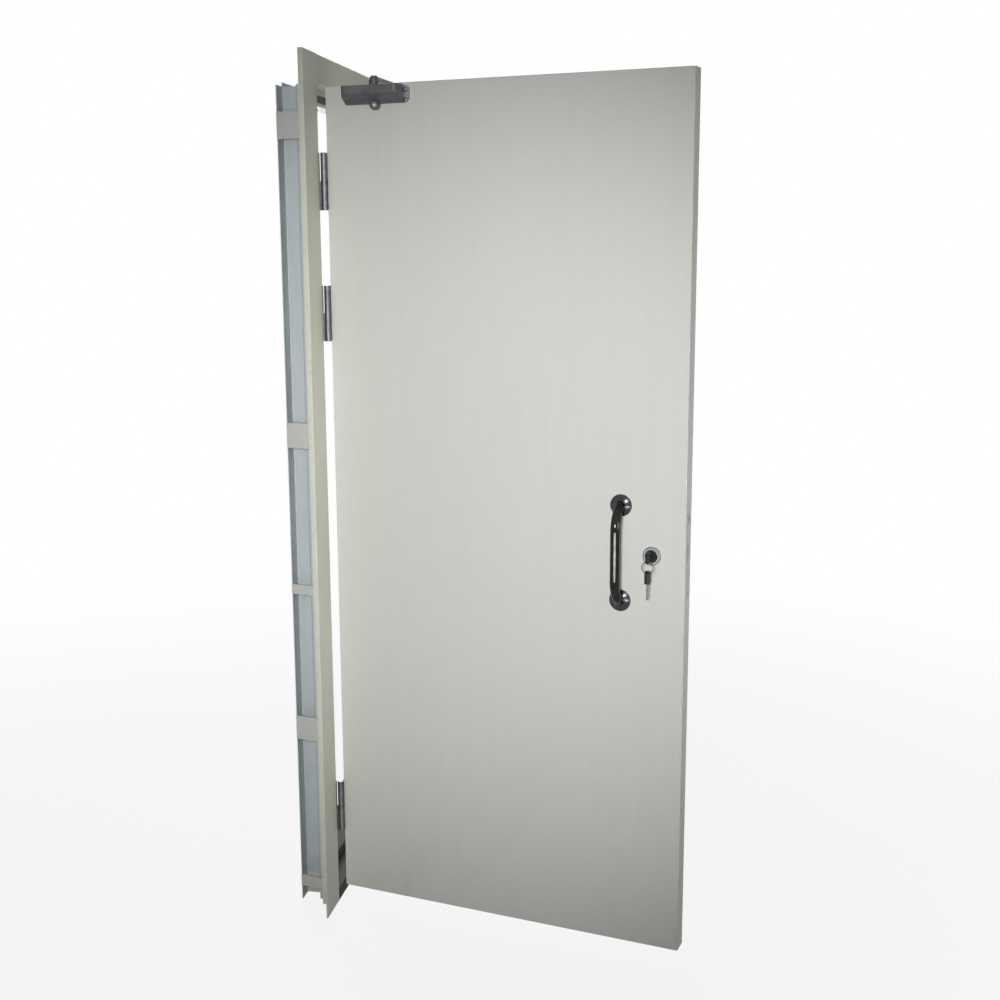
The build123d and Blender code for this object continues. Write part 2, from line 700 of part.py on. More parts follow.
# Main arm with the spindle below it, its nut above it and the elbow's pin
with BuildPart() as closer_main_arm:
    with BuildSketch(arm_plane(spindle_point, main_arm_span, main_arm_z)):
        SlotCenterToCenter(main_arm_span.length, ARM_WIDTH)
    extrude(amount=ARM_THICKNESS)
    with BuildSketch(level_plane(spindle_point, closer_top + SPINDLE_GAP)):
        Circle(SPINDLE_RADIUS)
    extrude(amount=main_arm_z - closer_top - SPINDLE_GAP)
    with BuildSketch(level_plane(spindle_point, main_arm_top)):
        RegularPolygon(NUT_RADIUS, 6)
    extrude(amount=NUT_HEIGHT)
    with BuildSketch(level_plane(elbow_point, main_arm_top)):
        Circle(ELBOW_WASHER_RADIUS)
    extrude(amount=ARM_GAP - ELBOW_CLEARANCE)
    with BuildSketch(level_plane(elbow_point, main_arm_top)):
        Circle(ELBOW_PIN_RADIUS)
    extrude(amount=ARM_GAP + FOREARM_THICKNESS + ELBOW_PIN_PROUD)
save(closer_main_arm.part, "closer_main_arm")

# Forearm, bored for the elbow's pin and the shoe's pin
with BuildPart() as closer_forearm:
    with BuildSketch(arm_plane(shoe_point, forearm_span, forearm_z)):
        SlotCenterToCenter(forearm_span.length, FOREARM_WIDTH)
        with GridLocations(forearm_span.length, 0, 2, 1):
            Circle(ELBOW_PIN_RADIUS + ELBOW_CLEARANCE, mode=Mode.SUBTRACT)
    extrude(amount=FOREARM_THICKNESS)
save(closer_forearm.part, "closer_forearm")

# Shoe on the frame head, with a tongue over the forearm and the pivot pin below it
shoe_z = forearm_top + SHOE_LIFT
tongue_reach = face_y - (pin_y - SHOE_PIVOT_OUT)
with BuildPart() as closer_shoe:
    with BuildSketch(Plane.XZ.offset(-face_y)):
        with Locations((shoe_point.X, shoe_z + SHOE_HEIGHT / 2)):
            RectangleRounded(SHOE_WIDTH, SHOE_HEIGHT, SHOE_PLATE)
    extrude(amount=SHOE_PLATE)
    with BuildSketch(level_plane(shoe_point, shoe_z)):
        Circle(SHOE_TONGUE_WIDTH / 2)
        with Locations((0, (tongue_reach - SHOE_PLATE / 2) / 2)):
            Rectangle(SHOE_TONGUE_WIDTH, tongue_reach - SHOE_PLATE / 2)
    extrude(amount=SHOE_TONGUE)
    with BuildSketch(level_plane(shoe_point, forearm_z)):
        Circle(ELBOW_PIN_RADIUS)
    extrude(amount=shoe_z - forearm_z)
save(closer_shoe.part, "closer_shoe")
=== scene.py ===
import json
import math

import bmesh
import bpy
from mathutils import Matrix, Vector


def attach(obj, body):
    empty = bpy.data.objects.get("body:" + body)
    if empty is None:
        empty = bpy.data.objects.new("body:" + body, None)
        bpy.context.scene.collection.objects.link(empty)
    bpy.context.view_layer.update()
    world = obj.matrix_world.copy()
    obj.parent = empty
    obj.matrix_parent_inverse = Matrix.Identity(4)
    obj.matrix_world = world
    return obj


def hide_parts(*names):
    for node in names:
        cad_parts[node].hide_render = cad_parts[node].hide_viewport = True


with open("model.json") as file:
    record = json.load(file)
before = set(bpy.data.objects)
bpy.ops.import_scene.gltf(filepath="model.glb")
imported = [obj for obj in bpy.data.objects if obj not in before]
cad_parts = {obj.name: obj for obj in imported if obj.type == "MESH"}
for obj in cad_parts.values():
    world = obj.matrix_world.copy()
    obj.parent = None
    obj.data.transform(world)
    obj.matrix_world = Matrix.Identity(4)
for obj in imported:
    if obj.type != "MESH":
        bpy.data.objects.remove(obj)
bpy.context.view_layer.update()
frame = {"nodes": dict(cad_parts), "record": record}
nodes = frame["nodes"]

# The leaf's own directions, in metres: u along it from the hinge pin, v through its thickness
OPEN_ANGLE = math.radians(103)
PIN = Vector((-0.4575, -0.061, 0))
LEAF_U = Vector((math.cos(OPEN_ANGLE), -math.sin(OPEN_ANGLE), 0))
LEAF_V = Vector((math.sin(OPEN_ANGLE), math.cos(OPEN_ANGLE), 0))
LEAF_TURN = math.atan2(LEAF_U.y, LEAF_U.x)
UP = Vector((0, 0, 1))
PULL_V = 0.011
PUSH_V = 0.056
HINGE_EDGE_U = 0.0025
LOCK_EDGE_U = 0.9125
LEAF_LOW = 0.04
LEAF_TOP = 2.09
HANDLE_U = 0.7575
HANDLE_Z = 1.0105
HANDLE_SPACING = 0.226
LOCK_U = 0.8335
LOCK_Z = 1.010

# Frame section, and where the bare inside of a folded member starts
REBATE_X = 0.460
REBATE_Z = 2.095
JAMB_FACE = 0.105
HEAD_FACE = 0.070
FLANGE_Y = 0.044
LIP_EDGE = 0.0015
LIP_REACH = 0.004
FOOT_PAINTED = 0.045
FOOT_BARE = 0.070

# Surfaces: rubbed edges, dirt that fades between two heights, bare zinc, handling haze and fine grain
LEAF_RUB_WIDTH = 0.007
FRAME_RUB_WIDTH = 0.006
RUB_STRENGTH = 0.4
DIRT_LOW = 0.03
DIRT_HIGH = 0.30
DIRT_NEAR_FLOOR = 0.16
DIRT_EVERYWHERE = 0.02
BARE_METALLIC = 0.10
BARE_SMOOTHER = 0.06
HAZE_ROUGHNESS = 0.06
GRAIN_DEPTH = 0.0004

# Small pieces that ride on the door; closer screws are given by u and z
CLOSER_SCREWS = ((0.2205, 2.0730), (0.2205, 2.0492))
CLOSER_PLATE_V = 0.006
CLOSER_SCREW = {"radius": 0.0040, "height": 0.0026}
CLOSER_WASHER = {"inner": 0.0031, "outer": 0.0052, "height": 0.0012}
PLATE_SCREW = {"radius": 0.0038, "height": 0.0008}
EDGE_SCREW_RISE = 0.088
STRIKE_SCREW_RISE = 0.070
STRIKE_Y = -0.0275
ROUND_SIDES = 36
SHARP_ANGLE = math.radians(35)

# Key ring of flattened wire; turns count from the lock edge's side, where the wire steps over once
RING_V = -0.025
RING_Z = 0.9899
RING_RADIUS = 0.0135
RING_START = 0.06
RING_TURNS = 1.88
RING_STEP_START = 0.955
RING_STEP_LENGTH = 0.09
RING_PITCH = 0.00112
WIRE_HALF_WIDTH = 0.00085
WIRE_HALF_THICKNESS = 0.00052
WIRE_POINTS = 180
WIRE_SIDES = 10

# Camera, fitted to the photograph's leaf and frame
CAMERA_PLACE = Vector((-3.691, -1.0665, 1.7104))
CAMERA_YAW = math.radians(79.874)
CAMERA_PITCH = math.radians(10.570)
CAMERA_ROLL = math.radians(0.244)
CAMERA_LENS = 48.77
SENSOR_WIDTH = 36.0
VIEW_END = 200.0

# Light; lamp powers are in watts, places and sizes in metres
WORLD_LIGHT = 0.12
KEY_PLACE = Vector((-3.50, -0.70, 1.72))
KEY_AIM = Vector((-0.56, -0.48, 1.15))
KEY_POWER = 320
KEY_CONE = math.radians(55)
KEY_SOFTNESS = 0.30
STRIP_PLACE = Vector((-3.75, -1.05, 0.32))
STRIP_AIM = Vector((-0.60, -0.80, 0.95))
STRIP_POWER = 40
STRIP_SIZE = (2.20, 0.30)
FILL_PLACE = Vector((-1.6, -4.6, 1.2))
FILL_AIM = Vector((-0.52, -0.3, 1.05))
FILL_POWER = 155
FILL_CONE = math.radians(26)
FILL_SOFTNESS = 0.5
FRONT_PLACE = Vector((1.5, -4.6, 2.0))
FRONT_AIM = Vector((-0.1, -0.1, 1.1))
FRONT_POWER = 18
FRONT_SIZE = (2.2, 2.2)
BACK_PLACE = Vector((3.4, 1.6, 2.4))
BACK_AIM = Vector((-0.2, -0.2, 1.0))
BACK_POWER = 230
BACK_SIZE = (2.5, 2.5)

# Floor, just under the threshold; it fades into the backdrop with distance from the door
FLOOR_SIZE = 60.0
FLOOR_Z = -0.001
FLOOR_FADE_START = 1.0
FLOOR_FADE_END = 4.0
FLOOR_WHITENESS = 0.88

# Colours, linear
WHITE = (1, 1, 1, 1)
CREAM = (0.665, 0.668, 0.632, 1)
CREAM_SHADE = (0.640, 0.642, 0.602, 1)
FRAME_TINT = (0.99, 1.0, 0.91, 1)
# The cream_paint parts, the straps among them, are the same cream darkened by 0.92: painted shade
STRAP_PAINTED_SHADE = (0.92, 0.92, 0.92, 1)
SCUFF = (0.40, 0.40, 0.38, 1)
DIRT = (0.36, 0.34, 0.29, 1)
GALVANISED = (0.53, 0.572, 0.582, 1)
GALVANISED_SHADE = (0.455, 0.496, 0.51, 1)
FLOOR_DARK = (0.28, 0.28, 0.28, 1)
FLOOR_LIGHT = (0.32, 0.32, 0.32, 1)


def leaf_point(u, v, z):
    """A point given in the leaf's own directions."""
    return PIN + LEAF_U * u + LEAF_V * v + UP * z


# Shader nodes
def add(tree, kind, settings=(), **inputs):
    """Add a node; inputs are plain values or other nodes' outputs."""
    node = tree.nodes.new(kind)
    for key, value in dict(settings).items():
        setattr(node, key, value)
    for key, value in inputs.items():
        connect(tree, node.inputs[key.replace("_", " ")], value)
    return node


def connect(tree, socket, value):
    """Link an output to a socket, or set the socket's own value."""
    if isinstance(value, bpy.types.NodeSocket):
        tree.links.new(value, socket)
    else:
        socket.default_value = value


def calc(tree, operation, first, second=0.0, third=0.0):
    """A Math node's result."""
    node = add(tree, "ShaderNodeMath", {"operation": operation})
    for socket, value in zip(node.inputs, (first, second, third)):
        connect(tree, socket, value)
    return node.outputs[0]


def weighed(tree, *pairs):
    """The sum of values, each times its own share."""
    total = 0.0
    for value, share in pairs:
        total = calc(tree, "MULTIPLY_ADD", value, share, total)
    return total


def blend_colors(tree, factor, first, second, kind="MIX"):
    """A colour Mix node's result."""
    node = add(tree, "ShaderNodeMix", {"data_type": "RGBA", "blend_type": kind})
    for index, value in ((0, factor), (6, first), (7, second)):
        connect(tree, node.inputs[index], value)
    return node.outputs[2]


def blend_shaders(tree, factor, first, second, output):
    """Two shaders mixed by a factor and sent to an output."""
    node = add(tree, "ShaderNodeMixShader")
    for socket, value in zip(node.inputs, (factor, first, second)):
        connect(tree, socket, value)
    tree.links.new(node.outputs[0], output)


def span(tree, value, low, high, to_low=0.0, to_high=1.0):
    """A value mapped from one range to another, smoothly and clamped."""
    node = add(tree, "ShaderNodeMapRange", {"interpolation_type": "SMOOTHSTEP"})
    for socket, item in zip(node.inputs, (value, low, high, to_low, to_high)):
        connect(tree, socket, item)
    return node.outputs[0]


def noise(tree, vector, scale, detail=3.0, roughness=0.5):
    """A noise texture's value; scale is in features a metre."""
    node = add(tree, "ShaderNodeTexNoise", Vector=vector, Scale=scale, Detail=detail, Roughness=roughness)
    return node.outputs[0]


def place_of(tree):
    """The surface point in the piece's own coordinates."""
    return add(tree, "ShaderNodeTexCoord").outputs["Object"]


def leaf_place(tree):
    """The surface point in the leaf's own directions u, v and z."""
    node = add(tree, "ShaderNodeMapping", {"vector_type": "TEXTURE"}, Vector=place_of(tree),
               Location=PIN, Rotation=(0, 0, LEAF_TURN))
    return node.outputs[0]


def stretch(tree, vector, factors):
    """A point with each direction scaled, so that a texture runs along one of them."""
    return add(tree, "ShaderNodeMapping", Vector=vector, Scale=factors).outputs[0]


def parts_of(tree, vector):
    """The three numbers of a vector."""
    return add(tree, "ShaderNodeSeparateXYZ", Vector=vector).outputs


def vector_of(tree, x=0.0, y=0.0, z=0.0):
    """A vector made of three numbers."""
    return add(tree, "ShaderNodeCombineXYZ", X=x, Y=y, Z=z).outputs[0]


def along_direction(tree, vector, direction):
    """How far a vector reaches along a fixed direction."""
    node = add(tree, "ShaderNodeVectorMath", {"operation": "DOT_PRODUCT"})
    connect(tree, node.inputs[0], vector)
    connect(tree, node.inputs[1], direction)
    return node.outputs["Value"]


def own_normal(tree):
    """The surface's normal in the piece's own coordinates."""
    normal = add(tree, "ShaderNodeNewGeometry").outputs["Normal"]
    settings = {"vector_type": "NORMAL", "convert_from": "WORLD", "convert_to": "OBJECT"}
    return add(tree, "ShaderNodeVectorTransform", settings, Vector=normal).outputs[0]


def bumps(tree, height, strength, distance, base=None):
    """A bump from a height, over another bump where one is given."""
    node = add(tree, "ShaderNodeBump", Height=height, Strength=strength, Distance=distance)
    if base:
        tree.links.new(base, node.inputs["Normal"])
    return node.outputs[0]


def material(name, **sockets):
    """A new material with constants set on its shader; returns it, its tree and its shader."""
    made = bpy.data.materials.new(name)
    made.use_nodes = True
    tree = made.node_tree
    shader = tree.nodes["Principled BSDF"]
    for key, value in sockets.items():
        shader.inputs[key.replace("_", " ")].default_value = value
    return made, tree, shader


# Masks
def near_edges(tree, pairs, width):
    """One where a value is at its edge, in any pair, and zero from a given width away."""
    total = 0.0
    for value, edge in pairs:
        gap = calc(tree, "ABSOLUTE", calc(tree, "SUBTRACT", value, edge))
        total = calc(tree, "MAXIMUM", total, span(tree, gap, 0.0, width, 1.0, 0.0))
    return total


def leaf_edges(tree):
    """How near a point is to the leaf's outer edges."""
    place = parts_of(tree, leaf_place(tree))
    u, z = place[0], place[2]
    pairs = ((u, LOCK_EDGE_U), (u, HINGE_EDGE_U), (z, LEAF_LOW), (z, LEAF_TOP))
    return near_edges(tree, pairs, LEAF_RUB_WIDTH)


def frame_edges(tree):
    """How near a point is to the outer and inner edges of the frame's face."""
    place = parts_of(tree, place_of(tree))
    side, z = calc(tree, "ABSOLUTE", place[0]), place[2]
    pairs = ((side, REBATE_X), (side, REBATE_X + JAMB_FACE), (z, REBATE_Z + HEAD_FACE), (z, 0.0))
    return near_edges(tree, pairs, FRAME_RUB_WIDTH)


def unpainted_inside(outward, rebate, face):
    """The mask of a folded member's hidden side; outward points away from the doorway."""

    def mask(tree):
        point, normal = place_of(tree), own_normal(tree)
        reach = calc(tree, "SUBTRACT", along_direction(tree, point, outward), rebate)
        facing = along_direction(tree, normal, outward)
        depth, height = parts_of(tree, point)[1], parts_of(tree, point)[2]
        normal_y = parts_of(tree, normal)[1]
        faces_out = calc(tree, "GREATER_THAN", facing, 0.5)
        faces_in = calc(tree, "LESS_THAN", facing, -0.5)
        faces_back = calc(tree, "GREATER_THAN", normal_y, 0.5)
        faces_front = calc(tree, "LESS_THAN", normal_y, -0.5)
        before_lip = calc(tree, "LESS_THAN", reach, face - LIP_EDGE)
        past_lip = calc(tree, "GREATER_THAN", reach, face - LIP_REACH)
        before_flange = calc(tree, "LESS_THAN", depth, FLANGE_Y)
        past_flange = calc(tree, "GREATER_THAN", depth, FLANGE_Y)
        hidden = weighed(
            tree,
            (faces_out, before_lip),
            (faces_in, past_lip),
            (faces_back, before_flange),
            (faces_front, past_flange),
        )
        above_foot = span(tree, height, FOOT_PAINTED, FOOT_BARE)
        return calc(tree, "MULTIPLY", calc(tree, "MINIMUM", hidden, 1.0), above_foot)

    return mask


# Finishes
def powder_coat(tree, point):
    """Off-white with faint clouds, brush marks along z and a fine speckle."""
    cloud = noise(tree, point, scale=1.3)
    brushed = noise(tree, stretch(tree, point, (1, 1, 0.06)), scale=60.0, detail=4.0, roughness=0.55)
    speckle = noise(tree, point, scale=55.0)
    tone = weighed(tree, (cloud, 0.45), (brushed, 0.35), (speckle, 0.20))
    return blend_colors(tree, span(tree, tone, 0.30, 0.70), CREAM_SHADE, CREAM)


def soiled(tree, point, color):
    """A colour with smudges, which are stronger near the floor."""
    streaked = stretch(tree, point, (1, 1, 0.45))
    smudge = span(tree, noise(tree, streaked, scale=9.0, detail=6.0, roughness=0.62), 0.52, 0.78)
    low = span(tree, parts_of(tree, point)[2], DIRT_LOW, DIRT_HIGH, 1.0, 0.0)
    low_smudge = calc(tree, "MULTIPLY", smudge, low)
    dirt = weighed(tree, (smudge, DIRT_EVERYWHERE), (low_smudge, DIRT_NEAR_FLOOR))
    return blend_colors(tree, dirt, color, DIRT)


def rubbed(tree, point, edges, color):
    """A colour chipped where the edges mask says so."""
    chips = span(tree, noise(tree, point, scale=95.0, detail=6.0, roughness=0.7), 0.54, 0.66)
    worn = calc(tree, "MULTIPLY", chips, edges(tree))
    return blend_colors(tree, calc(tree, "MULTIPLY", worn, RUB_STRENGTH), color, SCUFF)


def zinc(tree, point):
    """Galvanised sheet with its spangle and streaks along z."""
    drawn = stretch(tree, point, (1, 1, 0.5))
    cells = add(tree, "ShaderNodeTexVoronoi", Vector=drawn, Scale=58.0).outputs["Color"]
    streak = noise(tree, stretch(tree, point, (1, 1, 0.04)), scale=70.0)
    spangle = weighed(tree, (streak, 0.65), (parts_of(tree, cells)[0], 0.35))
    return blend_colors(tree, spangle, GALVANISED, GALVANISED_SHADE)


def paint(name, place, edges, tint=WHITE, inside=None):
    """Warm off-white powder coat, rubbed at its edges, with bare zinc where inside says so."""
    made, tree, shader = material(name, Specular_IOR_Level=0.08)
    point = place(tree)
    color = rubbed(tree, point, edges, soiled(tree, point, powder_coat(tree, point)))
    # The tint multiplies the colour: a warmer hue on the frame, and painted shade on the cream_paint parts
    color = blend_colors(tree, 1.0, color, tint, "MULTIPLY")
    roughness = span(tree, noise(tree, point, scale=5.0, detail=5.0), 0.3, 0.7, 0.38, 0.50)
    peel = bumps(tree, noise(tree, point, scale=420.0, detail=2.0), strength=0.10, distance=0.0006)
    waves = noise(tree, point, scale=6.0, detail=2.0)
    if inside:
        bare = inside(tree)
        color = blend_colors(tree, bare, color, zinc(tree, point))
        connect(tree, shader.inputs["Metallic"], calc(tree, "MULTIPLY", bare, BARE_METALLIC))
        roughness = calc(tree, "SUBTRACT", roughness, calc(tree, "MULTIPLY", bare, BARE_SMOOTHER))
    connect(tree, shader.inputs["Base Color"], color)
    connect(tree, shader.inputs["Roughness"], roughness)
    connect(tree, shader.inputs["Normal"], bumps(tree, waves, strength=0.05, distance=0.004, base=peel))
    return made


def metal(name, dark, light, smooth, rough, grain, bump, share=1.0):
    """Bare or plated metal with a fine grain and a little haze from handling."""
    made, tree, shader = material(name, Metallic=share)
    point = place_of(tree)
    streaks = noise(tree, stretch(tree, point, grain), scale=300.0, detail=4.0, roughness=0.6)
    haze = noise(tree, point, scale=24.0, detail=5.0, roughness=0.6)
    roughness = calc(tree, "MULTIPLY_ADD", streaks, rough - smooth, smooth)
    roughness = calc(tree, "MULTIPLY_ADD", span(tree, haze, 0.45, 0.8), HAZE_ROUGHNESS, roughness)
    connect(tree, shader.inputs["Base Color"], blend_colors(tree, span(tree, haze, 0.3, 0.75), light, dark))
    connect(tree, shader.inputs["Roughness"], roughness)
    connect(tree, shader.inputs["Normal"], bumps(tree, streaks, strength=bump, distance=GRAIN_DEPTH))
    return made


def coated(name, dark, light, smooth, rough, grain_scale, bump, metallic=0.0, gloss=0.5):
    """Lacquer, plastic or rubber: a speckled colour, uneven gloss and a fine surface grain."""
    made, tree, shader = material(name, Metallic=metallic, Specular_IOR_Level=gloss)
    point = place_of(tree)
    grain = noise(tree, point, scale=grain_scale, roughness=0.6)
    wear = noise(tree, point, scale=30.0, detail=6.0, roughness=0.65)
    color = blend_colors(tree, span(tree, wear, 0.32, 0.72), dark, light)
    color = blend_colors(tree, calc(tree, "MULTIPLY", grain, 0.25), color, light)
    connect(tree, shader.inputs["Base Color"], color)
    connect(tree, shader.inputs["Roughness"], span(tree, wear, 0.3, 0.75, smooth, rough))
    connect(tree, shader.inputs["Normal"], bumps(tree, grain, strength=bump, distance=GRAIN_DEPTH))
    return made


def turned(name, dark, light, roughness):
    """Metal turned on a lathe: fine rings round the nearest rose's centre."""
    made, tree, shader = material(name, Metallic=1.0, Roughness=roughness, Anisotropic=0.9)
    place = parts_of(tree, leaf_place(tree))
    across = calc(tree, "SUBTRACT", place[0], HANDLE_U)
    rise = calc(tree, "SUBTRACT", place[2], HANDLE_Z)
    rose_rise = calc(tree, "MULTIPLY", calc(tree, "SIGN", rise), HANDLE_SPACING / 2)
    along = calc(tree, "SUBTRACT", rise, rose_rise)
    radius = calc(tree, "SQRT", weighed(tree, (across, across), (along, along)))
    rings = noise(tree, vector_of(tree, x=radius), scale=1600.0, detail=2.0)
    outward = vector_of(tree, x=across, z=along)
    spun = add(tree, "ShaderNodeVectorRotate", {"rotation_type": "Z_AXIS"}, Vector=outward, Angle=LEAF_TURN)
    settings = {"vector_type": "VECTOR", "convert_from": "OBJECT", "convert_to": "WORLD"}
    tangent = add(tree, "ShaderNodeVectorTransform", settings, Vector=spun.outputs[0])
    connect(tree, shader.inputs["Base Color"], blend_colors(tree, rings, dark, light))
    connect(tree, shader.inputs["Tangent"], tangent.outputs[0])
    return made


def frame_paint(name, outward, rebate, face):
    """The finish of one folded member of the frame."""
    inside = unpainted_inside(outward, rebate, face)
    return paint(name, place_of, frame_edges, FRAME_TINT, inside)


slot_materials = {
    # Straps: the frame's cream darkened by a tint as painted shade
    "cream_paint": paint("cream_paint", place_of, frame_edges, STRAP_PAINTED_SHADE),
    # Near-black sill: painted shade for the dark seen under the leaf; the sill's own colour is not known
    "sill_dark": coated(
        "sill_painted_shade", dark=(0.040, 0.040, 0.038, 1), light=(0.085, 0.084, 0.079, 1),
        smooth=0.75, rough=0.92, grain_scale=500.0, bump=0.10, gloss=0.15,
    ),
    "seal": coated(
        "seal_rubber", dark=(0.018, 0.018, 0.018, 1), light=(0.05, 0.05, 0.05, 1),
        smooth=0.6, rough=0.85, grain_scale=900.0, bump=0.2,
    ),
    "hinge_steel": metal(
        "hinge_steel", dark=(0.080, 0.077, 0.083, 1), light=(0.155, 0.150, 0.160, 1),
        smooth=0.42, rough=0.54, grain=(1, 1, 0.05), bump=0.05,
    ),
    "core_board": coated(
        "core_board", dark=(0.44, 0.42, 0.34, 1), light=(0.60, 0.57, 0.48, 1),
        smooth=0.8, rough=0.95, grain_scale=700.0, bump=0.4,
    ),
    # Near-black chrome: painted reflection of a dark room, far darker than polished steel itself; the white
    # streak comes from the lamps
    "handle_chrome": metal(
        "handle_chrome", dark=(0.019, 0.019, 0.017, 1), light=(0.034, 0.034, 0.031, 1),
        smooth=0.05, rough=0.09, grain=(1, 1, 0.3), bump=0.01,
    ),
    "satin_chrome": metal(
        "satin_chrome", dark=(0.165, 0.195, 0.205, 1), light=(0.27, 0.30, 0.305, 1),
        smooth=0.32, rough=0.46, grain=(0.2, 0.2, 1), bump=0.05, share=0.75,
    ),
    "lock_black": coated(
        "lock_black", dark=(0.004, 0.006, 0.008, 1), light=(0.014, 0.018, 0.021, 1),
        smooth=0.30, rough=0.46, grain_scale=500.0, bump=0.05, gloss=0.25,
    ),
    "closer_silver": coated(
        "closer_silver", dark=(0.100, 0.106, 0.114, 1), light=(0.142, 0.148, 0.156, 1),
        smooth=0.36, rough=0.52, grain_scale=1400.0, bump=0.06, metallic=0.15, gloss=0.25,
    ),
    "closer_plate_steel": metal(
        "closer_plate_steel", dark=(0.24, 0.255, 0.285, 1), light=(0.38, 0.40, 0.435, 1),
        smooth=0.30, rough=0.44, grain=(1, 1, 0.1), bump=0.05, share=0.6,
    ),
    "closer_dark": coated(
        "closer_dark", dark=(0.022, 0.023, 0.026, 1), light=(0.075, 0.078, 0.084, 1),
        smooth=0.32, rough=0.55, grain_scale=700.0, bump=0.08, metallic=0.3,
    ),
    "key_plastic": coated(
        "key_plastic", dark=(0.004, 0.004, 0.005, 1), light=(0.012, 0.012, 0.013, 1),
        smooth=0.40, rough=0.56, grain_scale=1200.0, bump=0.10, gloss=0.22,
    ),
    "key_steel": metal(
        "key_steel", dark=(0.16, 0.155, 0.145, 1), light=(0.32, 0.315, 0.30, 1),
        smooth=0.18, rough=0.34, grain=(1, 1, 0.2), bump=0.05,
    ),
}
leaf_paint = paint("leaf_paint", leaf_place, leaf_edges)
# Near-black turned steel: painted reflection of a dark room, darker than the steel itself; the bright wedge
# comes from the lamps
rose_steel_painted_reflection = turned(
    "turned_steel", dark=(0.040, 0.039, 0.041, 1), light=(0.074, 0.073, 0.076, 1), roughness=0.24,
)
cap_steel = metal(
    "cap_steel", dark=(0.085, 0.085, 0.09, 1), light=(0.15, 0.15, 0.157, 1),
    smooth=0.30, rough=0.38, grain=(1, 1, 1), bump=0.02,
)
lock_steel = metal(
    "lock_steel", dark=(0.20, 0.20, 0.20, 1), light=(0.36, 0.36, 0.355, 1),
    smooth=0.34, rough=0.48, grain=(1, 1, 0.05), bump=0.05,
)
# Near-black ring wire: painted reflection of a dark room, darker than the steel wire itself
ring_wire_painted_reflection = metal(
    "ring_wire_painted_reflection", dark=(0.030, 0.030, 0.029, 1), light=(0.070, 0.069, 0.066, 1),
    smooth=0.34, rough=0.46, grain=(1, 1, 0.2), bump=0.05,
)
node_materials = {
    "hinge_jamb": frame_paint("hinge_jamb_paint", (-1, 0, 0), REBATE_X, JAMB_FACE),
    "lock_jamb": frame_paint("lock_jamb_paint", (1, 0, 0), REBATE_X, JAMB_FACE),
    "frame_head": frame_paint("frame_head_paint", (0, 0, 1), REBATE_Z, HEAD_FACE),
    "leaf_pull_pan": leaf_paint,
    "leaf_push_pan": leaf_paint,
    "pull_handle_roses": rose_steel_painted_reflection,
    "push_handle_roses": rose_steel_painted_reflection,
    "closer_cap": cap_steel,
    "lock_forend": lock_steel,
    "lock_bolt": lock_steel,
    "strike_plate": lock_steel,
}
for row in frame["record"]["subparts"]:
    mesh = nodes[row["node"]].data
    mesh.materials.clear()
    mesh.materials.append(node_materials.get(row["node"]) or slot_materials[row["material_slot"]])


# Small pieces
def mesh_piece(name, mesh_data, body, surface):
    """A new piece of its own mesh that rides on a body."""
    mesh = bpy.data.meshes.new(name)
    mesh_data.to_mesh(mesh)
    mesh_data.free()
    for face in mesh.polygons:
        face.use_smooth = True
    mesh.set_sharp_from_angle(angle=SHARP_ANGLE)
    mesh.materials.append(surface)
    piece = bpy.data.objects.new(name, mesh)
    bpy.context.scene.collection.objects.link(piece)
    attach(piece, body)
    return piece


def ring_of(shape, place, across, out, radius, height):
    """Corner points of a round or hexagonal ring at one height over a place."""
    up = out.cross(across)
    half_angle = math.pi / 6
    points = []
    for step in range(ROUND_SIDES):
        turn = 2 * math.pi * step / ROUND_SIDES
        reach = radius
        if shape == "hex":
            reach = radius * math.cos(half_angle) / math.cos(turn % (2 * half_angle) - half_angle)
        sideways = across * math.cos(turn) * reach
        upward = up * math.sin(turn) * reach
        points.append(place + sideways + upward + out * height)
    return points


def turned_stack(data, place, across, out, rings, closed):
    """Rings joined one to the next, with a cap on the last where it is closed."""
    rows = []
    for shape, radius, height in rings:
        points = ring_of(shape, place, across, out, radius, height)
        rows.append([data.verts.new(point) for point in points])
    for low, high in zip(rows, rows[1:]):
        for index in range(ROUND_SIDES):
            following = (index + 1) % ROUND_SIDES
            data.faces.new((low[index], low[following], high[following], high[index]))
    if closed:
        data.faces.new(rows[-1])


def screw_heads(name, body, slot, places, across, out, radius, height):
    """Domed screw heads with a hexagon socket."""
    data = bmesh.new()
    rings = (
        ("round", radius, 0.0),
        ("round", radius, height * 0.25),
        ("round", radius * 0.93, height * 0.62),
        ("round", radius * 0.78, height * 0.90),
        ("round", radius * 0.60, height),
        ("hex", radius * 0.46, height),
        ("hex", radius * 0.44, height * 0.35),
    )
    for place in places:
        turned_stack(data, place, across, out, rings, closed=True)
    mesh_piece(name, data, body, slot_materials[slot])


def screw_washers(name, body, slot, places, across, out, inner, outer, height):
    """Flat washers with a rounded rim."""
    data = bmesh.new()
    rings = (
        ("round", outer, 0.0),
        ("round", outer, height * 0.5),
        ("round", outer * 0.95, height),
        ("round", inner, height),
        ("round", inner, 0.0),
    )
    for place in places:
        turned_stack(data, place, across, out, rings, closed=False)
    mesh_piece(name, data, body, slot_materials[slot])


